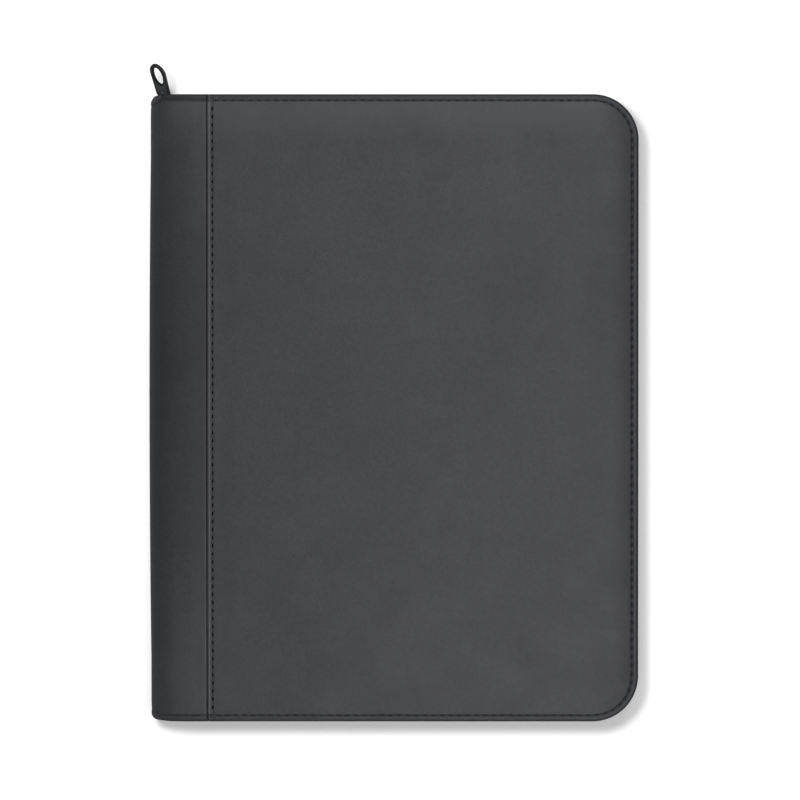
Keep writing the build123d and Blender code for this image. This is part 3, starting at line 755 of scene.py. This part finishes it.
def cover_foam(side, cover):
    """Foam under one cover's leather, pressed down by its sewn edge, and round its bend."""
    flat = edge_columns(FOAM_INSET, BOARD_LEFT + 0.1)
    (x, rise, _), (inner_x, inner_rise, _) = (bend_line(depth, 40) for depth in FOAM_DEPTHS)
    keep = x > FOLD[0] + FOAM_GAP
    tops = np.concatenate([columns(flat, pressed(RIGHT - flat)), columns(x, rise)[keep]])
    bottoms = np.concatenate([columns(flat, BOARD_OUT + 0.01),
                              columns(inner_x, inner_rise)[keep]])
    reach = np.concatenate([half_width(flat, FOAM_INSET), np.full(keep.sum(), HALF - END_TRIM)])
    edge = array((0, 2, 3.5, 6, 12, 30)) / HALF
    share = np.concatenate([edge - 1, np.linspace(-0.75, 0.75, 13), (1 - edge)[::-1]])
    points, faces = closed_slab(tops, bottoms, reach, share)
    whole = np.tile(np.concatenate([reach, reach[::-1]]), len(share))
    x, y, height = points.T
    limit = pressed((1 - abs(y) / whole) * HALF + FOAM_INSET)
    upper = (x > BEND_X) & (height > BOARD_OUT + 0.05)
    points[:, 2] = MID + side * np.where(upper, np.minimum(height, limit), height)
    pad = piece(f"{cover}_foam_pad", points, faces, FOAM, f"{cover}_cover",
                f"{cover}_foam", weld=False)


def spine_foam():
    """Padded strip round the outside of the spine, between its leather and its lining."""
    outer, inner = (whole_bend(depth, 40, FOLD[0] - FOAM_GAP)[0] + (0, MID)
                    for depth in FOAM_DEPTHS)
    wanted, had = np.linspace(0, 1, len(outer)), np.linspace(0, 1, len(inner))
    inner = columns(*(np.interp(wanted, had, way) for way in inner.T))
    reach = np.full(len(outer), HALF - END_TRIM)
    points, faces = closed_slab(outer, inner, reach, np.linspace(-1, 1, 9))
    pad = piece("spine_pad", points, faces, FOAM, "spine", "spine_stiffener",
                weld=False)


def tape_line(inset, start):
    """Plan of a zip tape round the three open sides, with its two ends along the spine."""
    return rim_line(inset, np.append(np.arange(start, CENTRE_X, 1.5), CENTRE_X),
                    np.linspace(0, RIGHT_ANGLE, 24)[1:-1], np.linspace(-CENTRE_Y, CENTRE_Y, 40))


def zip_tape(side, cover):
    """Woven tape of one half of the zip: a flange sewn under the hem and a wall for the teeth."""
    outer, inner = tape_line(WALL_INSET, TAPE_START), tape_line(WALL_INNER, TAPE_START)
    x, y = outer.T
    a, b = BEND_REACH - TAPE_DEPTH, MID - TAPE_DEPTH
    roof = b * np.sqrt(1 - np.clip((BEND_X - x) / a, 0, 1) ** 2)
    high = np.where(x < BOARD_LEFT, roof, LINING_OUT)
    low = np.full(len(x), TOOTH_TOP + 0.03)
    if side > 0:
        low[(x < TEETH_START[side]) & (y > 0)] = NOTCH
    high = np.maximum(high, low + 0.2)
    out = unit(outer - inner)
    wall = ((inner, high), (inner, (low + high) / 2), (inner, low + 0.1),
            ((inner + outer) / 2, low), (outer, low + 0.1), (outer + 0.1 * out, low + 0.8),
            (outer + 0.02 * out, low + 1.6), (outer, (low + high) / 2), (outer, high))
    flange = [(tape_line(inset, BOARD_LEFT), level)
              for inset, level in ((FLANGE_EDGE, LINING_OUT), (FLANGE_EDGE, LINING_IN),
                                   (FLANGE_FOLD, LINING_IN), (WALL_INNER, LINING_IN))]
    faces = grid_faces(len(wall), len(x), flip=side < 0)
    faces += grid_faces(len(flange), len(flange[0][0]), len(wall) * len(x), flip=side < 0)
    points = [columns(*plan.T, MID + side * level) for plan, level in (*wall, *flange)]
    tape = piece(f"{cover}_zip_tape_cloth", np.concatenate(points), faces, TAPE,
                 f"{cover}_cover", f"{cover}_zip_tape", weld=False)


def tooth_shape():
    """One moulded tooth along a tape: foot over the cord, neck and rounded head."""
    outline = np.concatenate([TOOTH, array(TOOTH)[-2::-1] * (-1, 1)])
    points = []
    for place, size in TOOTH_SLICES:
        across, height = (TOOTH_CENTRE + (outline - TOOTH_CENTRE) * (size, 0.5 + size / 2)).T
        points.append(columns(across, place, height))
    points = np.concatenate(points)
    faces = tube_faces(len(TOOTH_SLICES), len(outline))
    faces.append(tuple(range(len(outline)))[::-1])
    faces.append(tuple(range(len(points) - len(outline), len(points))))
    return points, faces


def tooth_places(side):
    """Place and heading of each tooth of one row, each hooked between two of the other."""
    phase = (2 + side) / 4
    path_y, r, room = HALF - CHAIN_INSET, CORNER - CHAIN_INSET, CENTRE_X - TOOTH_WIDTH / 2
    top = int((room - TEETH_START[side]) / TOOTH_PITCH + phase)
    places = [(CENTRE_X - (k + 1 - phase) * TOOTH_PITCH, path_y, 0) for k in range(top)]
    turns = int(RIGHT_ANGLE * r / TOOTH_PITCH)
    for turn, sign in ((90, 1), (0, -1)):
        for k in range(turns):
            angle = math.radians(turn - (k + phase) * 90 / turns)
            places.append((CENTRE_X + r * math.cos(angle),
                           sign * CENTRE_Y + r * math.sin(angle), angle - RIGHT_ANGLE))
    along = int(2 * CENTRE_Y / TOOTH_PITCH)
    places += [(RIGHT - CHAIN_INSET, CENTRE_Y - (k + phase) * 2 * CENTRE_Y / along, RIGHT_ANGLE)
               for k in range(along)]
    foot = int((room - TEETH_END) / TOOTH_PITCH + 1 - phase)
    return places + [(CENTRE_X - (k + phase) * TOOTH_PITCH, -path_y, 0) for k in range(foot)]


def zip_teeth(side, cover):
    """One row of teeth and the bead of its tape that they grip."""
    shape, shape_faces = tooth_shape()
    places = tooth_places(side)
    points = []
    for x, y, turn in places:
        c, s = math.cos(turn), math.sin(turn)
        points.append(columns(x + c * shape[:, 0] - s * shape[:, 1],
                              y + s * shape[:, 0] + c * shape[:, 1], MID + side * shape[:, 2]))
    if side < 0:
        shape_faces = [face[::-1] for face in shape_faces]
    faces = copied_faces(shape_faces, len(shape), len(places))
    piece(f"{cover}_teeth_row", np.concatenate(points), faces, TEETH,
          f"{cover}_cover", f"{cover}_zip_teeth", weld=False, smooth=False)

    line = tape_line(CHAIN_INSET, min(TEETH_START[side], BEAD_START))
    line = line[line[:, 0] > np.where(line[:, 1] > 0, TEETH_START[side], TEETH_END)]
    out = unit(np.gradient(line, axis=0))[:, ::-1] * (1, -1)
    rings = [columns(*(line + out * BEAD_HALF * math.cos(angle)).T,
                     MID + side * (BEAD_HEIGHT + BEAD_RISE * math.sin(angle)))
             for angle in np.linspace(0, FULL_TURN, 9)]
    piece(f"{cover}_tape_bead", np.concatenate(rings), grid_faces(len(rings), len(line)), TAPE,
          f"{cover}_cover")


def dress(node, material, width=0.0):
    """Give a CAD node its material, and rounded edges of some width."""
    obj = bpy.data.objects[node]
    obj.data.materials.clear()
    obj.data.materials.append(material)
    if width:
        soft = obj.modifiers.new("rounded_edges", "BEVEL")
        soft.width, soft.segments = width * METRE, 3
        soft.limit_method, soft.angle_limit = "ANGLE", math.radians(35)


def oval(middle, half, reach, angles):
    """Points round an oval or a part of it on the tab: across it and along it."""
    return columns(middle[0] + half * np.cos(angles), middle[1] + reach * np.sin(angles))


def bead_loop(name, loop, normal):
    """A rounded bead that follows a closed loop round the tab's plate."""
    side = np.cross(normal, unit(np.roll(loop, -1, axis=0) - np.roll(loop, 1, axis=0)))
    rings = []
    for angle in np.linspace(0, FULL_TURN, 17):
        c, s = (math.copysign(abs(way) ** 0.65, way)
                for way in (math.cos(angle), math.sin(angle)))
        rings.append(loop + side * (RIM_RADIUS * c) + normal * RIM_RISE * s)
    points = np.stack(rings, axis=1).reshape(-1, 3)
    faces = grid_faces(len(loop), len(rings), closed=True)
    piece(name, points, faces, RIM, "tab")


def pull_tab():
    """Plate of the pull tab, fitted to the photo, and the beads round its edge and its hole."""
    origin = Vector(CROWN_PIN) + Vector((0, math.cos(PITCH), math.sin(PITCH))) * LINK_REACH
    along = Vector((-math.sin(LEAN) * math.cos(PITCH), math.cos(LEAN) * math.cos(PITCH),
                    math.sin(PITCH)))
    level = Vector((math.cos(LEAN), math.sin(LEAN), 0))
    across = level * math.cos(ROLL) + level.cross(along) * math.sin(ROLL)
    normal = across.cross(along)
    turned = array([across * math.cos(TAB_TURN) - along * math.sin(TAB_TURN),
                    along * math.cos(TAB_TURN) + across * math.sin(TAB_TURN), normal])

    def placed(parts):
        """Points given across, along and off the tab, in the case's frame."""
        shift = TIP_SHIFT * np.clip((parts[:, 1] - EYE_REACH) / 13, 0, 1)
        return array(origin) + parts @ turned + columns(shift, 0, 0)

    source = bpy.data.objects["pull_tab"]
    corners = array([(source.matrix_world @ v.co) / METRE for v in source.data.vertices])
    parts = (corners - array(origin)) @ array([across, along, normal]).T * TAB_SCALE
    eye = (abs(parts[:, 0]) < EYE_HALF) & (abs(parts[:, 1]) < EYE_REACH)
    parts[eye, :2] /= TAB_SCALE[:2]
    faces = [tuple(polygon.vertices) for polygon in source.data.polygons]
    piece("pull_tab_plate", placed(parts), faces, TAB_FIELD, "tab", "pull_tab",
          weld=False, smooth=False)

    foot_x, foot_r = HALF_BASE - BASE_CORNER, BASE_CORNER - RIM_RADIUS
    outline = np.concatenate([
        oval((0, TAB_TIP - TIP_REACH), HALF_TIP - RIM_RADIUS, TIP_REACH - RIM_RADIUS,
             np.linspace(-0.1, math.pi + 0.1, 41)),
        oval((-foot_x, TAB_BASE + BASE_CORNER), foot_r, foot_r,
             np.linspace(math.pi, 1.5 * math.pi, 8)),
        oval((foot_x, TAB_BASE + BASE_CORNER), foot_r, foot_r,
             np.linspace(1.5 * math.pi, FULL_TURN, 8))])
    hole = oval((0, HOLE_MIDDLE), HOLE_HALF, HOLE_REACH,
                np.linspace(0, FULL_TURN, 60, endpoint=False))
    for name, loop in (("edge", outline), ("hole", hole)):
        bead_loop(f"tab_{name}_rim", placed(columns(*loop.T, 0) * TAB_SCALE), array(normal))


def pocket(node, body, base, outward, x_from, x_to, y_from, y_to, slot):
    """A sewn pocket: three sides stitched down, the fourth open toward the top of the case."""
    insets = array(POCKET_FALL)[:, 0]
    middle = np.linspace(x_from + POCKET_FLAT, x_to - POCKET_FLAT, 12)[1:-1]
    x = np.concatenate([x_from + insets, middle, (x_to - insets)[::-1]])
    y = np.concatenate([y_from + insets, np.linspace(y_from + POCKET_FLAT, y_to - 6, 14)[1:],
                        y_to - array(POCKET_MOUTH)])[:, None]
    to_side = np.minimum(x - x_from, x_to - x)
    near = np.minimum(to_side, y - y_from)
    rise = slot + POCKET_SHEET - POCKET_EDGE
    top = np.where(near < POCKET_LIFT[0][0], lookup(POCKET_FALL, near) * POCKET_EDGE,
                   POCKET_EDGE + rise * lookup(POCKET_LIFT, near))
    top = top + 0.25 * bell(y, y_to, 9) * np.clip(to_side / 25, 0, 1)
    thickness = np.zeros((len(y), 1))
    thickness[-len(MOUTH_THICKNESS):, 0] = MOUTH_THICKNESS
    level = np.maximum(top - thickness, np.minimum(top, 0.02))
    faces = grid_faces(len(y), len(x), flip=outward > 0)
    obj = piece(f"{node}_leather", columns(x, y, base + outward * level), faces, POCKET,
                body, node, weld=False)

    inset, pitch, height = 1.45, 3.6, base + outward * 0.68
    side_y = np.arange(y_from + inset + 1, y_to - 1.5, pitch)
    foot_x = np.arange(x_from + inset + pitch / 2, x_to - inset - 1, pitch)
    places = np.concatenate([columns(x_from + inset, side_y, height),
                             columns(x_to - inset, side_y, height),
                             columns(foot_x, y_from + inset, height)])
    tangents = np.repeat([(0, 1, 0), (1, 0, 0)], (2 * len(side_y), len(foot_x)), axis=0)
    threads(f"{node}_stitches", places, tangents, (0, 0, outward), (2.6, 0.2, 0.3), THREAD,
            body)


def pen_loop():
    """Ribbed elastic sewn into a loop beside the pad."""
    y = np.linspace(LOOP_START, LOOP_END, 53)
    ribs = RIB_HEIGHT * np.cos(FULL_TURN * (y - LOOP_START) / RIB_PITCH)
    rings, count = 49, len(y)
    rows = [columns(LOOP_X + r * math.cos(angle), y, LOOP_FLOOR + LOOP_OUTER + r * math.sin(angle))
            for r in (LOOP_OUTER + (ribs - RIB_HEIGHT), LOOP_INNER - 0.02)
            for angle in np.linspace(0, FULL_TURN, rings)]
    rows += [columns(LOOP_X + across, y, LOOP_FLOOR + height) for across, height in LOOP_FOOT]
    faces = grid_faces(rings, count) + grid_faces(rings, count, rings * count, flip=True)
    for ring in range(rings - 1):
        for j in (0, count - 1):
            a, b = ring * count + j, (ring + 1) * count + j
            faces.append((a, b, b + rings * count, a + rings * count))
    faces += grid_faces(len(LOOP_FOOT), count, 2 * rings * count)
    piece("pen_loop_elastic", np.concatenate(rows), faces, ELASTIC, "back_cover",
          "pen_loop")
    places = [columns(LOOP_X + across, np.arange(8.2, 32.4, 2.6), LOOP_FLOOR + 0.82)
              for across in (-4.6, 4.6)]
    threads("pen_loop_stitches", np.concatenate(places), (0, 1, 0), (0, 0, 1),
            (2.0, 0.2, 0.3), THREAD, "back_cover")


def paper_pad():
    """Sheets of the writing pad as thin leaves that don't lie exactly on each other."""
    leaf = []
    for i in range(3):
        for j in range(3):
            a = 4 * i + j
            leaf += [(a, a + 4, a + 5, a + 1), (a + 16, a + 17, a + 21, a + 20)]
    for i in range(3):
        a, b, c, d = i, i + 12, 4 * i, 4 * i + 3
        leaf += [(a, a + 1, a + 17, a + 16), (b + 1, b, b + 16, b + 17),
                 (c + 4, c, c + 16, c + 20), (d, d + 4, d + 20, d + 16)]
    (left, right), (foot, head), (low, high) = PAD_X, PAD_Y, PAD_Z
    rng = np.random.default_rng(7)
    points = []
    for k in range(LEAVES):
        slip_x, slip_y = rng.uniform(0.0, LEAF_SLIP, 2)
        x = array((left + slip_x, left + slip_x + LEAF_EDGE, right - LEAF_EDGE, right - slip_y))
        y = array((foot + slip_y, foot + slip_y + LEAF_EDGE, head - LEAF_EDGE, head))
        share = LEAF_SHARE if k < LEAVES - 1 else 1
        points += [columns(x, y[:, None], low + (high - low) * level / LEAVES)
                   for level in (k, k + share)]
    faces = copied_faces(leaf, 32, LEAVES)
    piece("pad_paper_leaves", np.concatenate(points), faces, PAPER, "pad",
          "pad_sheets", weld=False, smooth=False)


def studio():
    """Pale floor and surround, three lamps, and a camera that looks almost straight down."""
    reach, level = 3.0, -0.0003
    ground = bpy.data.meshes.new("floor")
    ground.from_pydata([(x * reach, y * reach, level)
                        for x, y in ((-1, -1), (1, -1), (1, 1), (-1, 1))], [], [(0, 1, 2, 3)])
    new_object("floor", ground)
    material, graph = new_material("pale_floor")
    seen = graph.camera_ray()
    graph.surface(graph.mix(seen, (0.3, 0.3, 0.3), (0.85, 0.85, 0.85)), 0.9, 0.0)
    glow = graph.add("Emission", {"Color": (1, 1, 1), "Strength": graph.math(
        "MULTIPLY", seen, 0.2)})[0]
    both = graph.add("AddShader", {0: graph.nodes["Principled BSDF"].outputs[0], 1: glow})[0]
    graph.feed(graph.nodes["Material Output"], {"Surface": both})
    ground.materials.append(material)

    world = bpy.data.worlds.new("studio")
    bpy.context.scene.world = world
    world.use_nodes = True
    graph = Graph(world.node_tree)
    graph.feed(graph.nodes["Background"], {"Color": (1, 1, 1), "Strength": graph.math(
        "MULTIPLY_ADD", graph.camera_ray(), 0.8, 0.2)})

    lamps = (
        ("key", (-0.36, 0.38, 1.6), (0.4, 0.4), 22.0, False),
        ("upper_soft", (0.15, 0.32, 0.8), (0.36, 0.42), 1.42, True),
        ("lower_soft", (0.17, -0.3, 0.8), (0.36, 0.42), 1.62, True),
    )
    for name, place, size, power, shines in lamps:
        data = bpy.data.lights.new(name, "AREA")
        data.shape = "RECTANGLE"
        data.size, data.size_y = size
        data.energy = power
        lamp = new_object(name, data)
        lamp.location = place
        lamp.rotation_euler = (-Vector(place)).to_track_quat("-Z", "Y").to_euler()
        lamp.visible_camera = False
        lamp.visible_glossy = shines

    distance, tilt, view_width = 3.2, math.radians(1.5), 0.4368
    target = Vector((0.0031, 0.00455, 0.025))
    data = bpy.data.cameras.new("camera")
    data.sensor_width = 36.0
    data.lens = data.sensor_width * distance / view_width
    data.clip_start, data.clip_end = 0.05, 20
    camera = new_object("camera", data)
    camera.location = target + distance * Vector((0, math.sin(tilt), math.cos(tilt)))
    camera.rotation_euler = (-tilt, 0, 0)
    bpy.context.scene.camera = camera
    bpy.context.scene.view_settings.view_transform = "Standard"


studio()
for side, cover in ((1, "front"), (-1, "back")):
    cover_panel(side, cover)
    spine_skin(side, cover)
    cover_lining(side, cover)
    cover_foam(side, cover)
    zip_tape(side, cover)
    zip_teeth(side, cover)
    dress(f"{cover}_board", BOARD)
    dress(f"{cover}_zip_stop", STOP, 0.3)
spine_foam()
tape_corner(1, "top")
tape_corner(-1, "bottom")
dress("slider_body", METAL, 0.2)
dress("pull_link", METAL, 0.2)
pull_tab()
pocket("pad_pocket", "back_cover", 4.4, 1, -95.75, 124.55, -152.35, -2.35, 1.4)
pocket("document_pocket", "front_cover", 20.6, -1, -92.85, 121.85, -152.35, 82.65, 0.8)
pocket("card_pocket_lower", "front_cover", 19.0, -1, -80.85, 17.19, -136.35, -74.35, 0.6)
pocket("card_pocket_upper", "front_cover", 19.0, -1, -80.85, 17.19, -62.35, -0.35, 0.6)
pocket("phone_pocket", "front_cover", 19.0, -1, 21.89, 113.85, -136.35, 13.65, 1.2)
pen_loop()
paper_pad()
dress("pad_backing", CARD, 0.15)
dress("pad_binding", BINDING, 0.12)
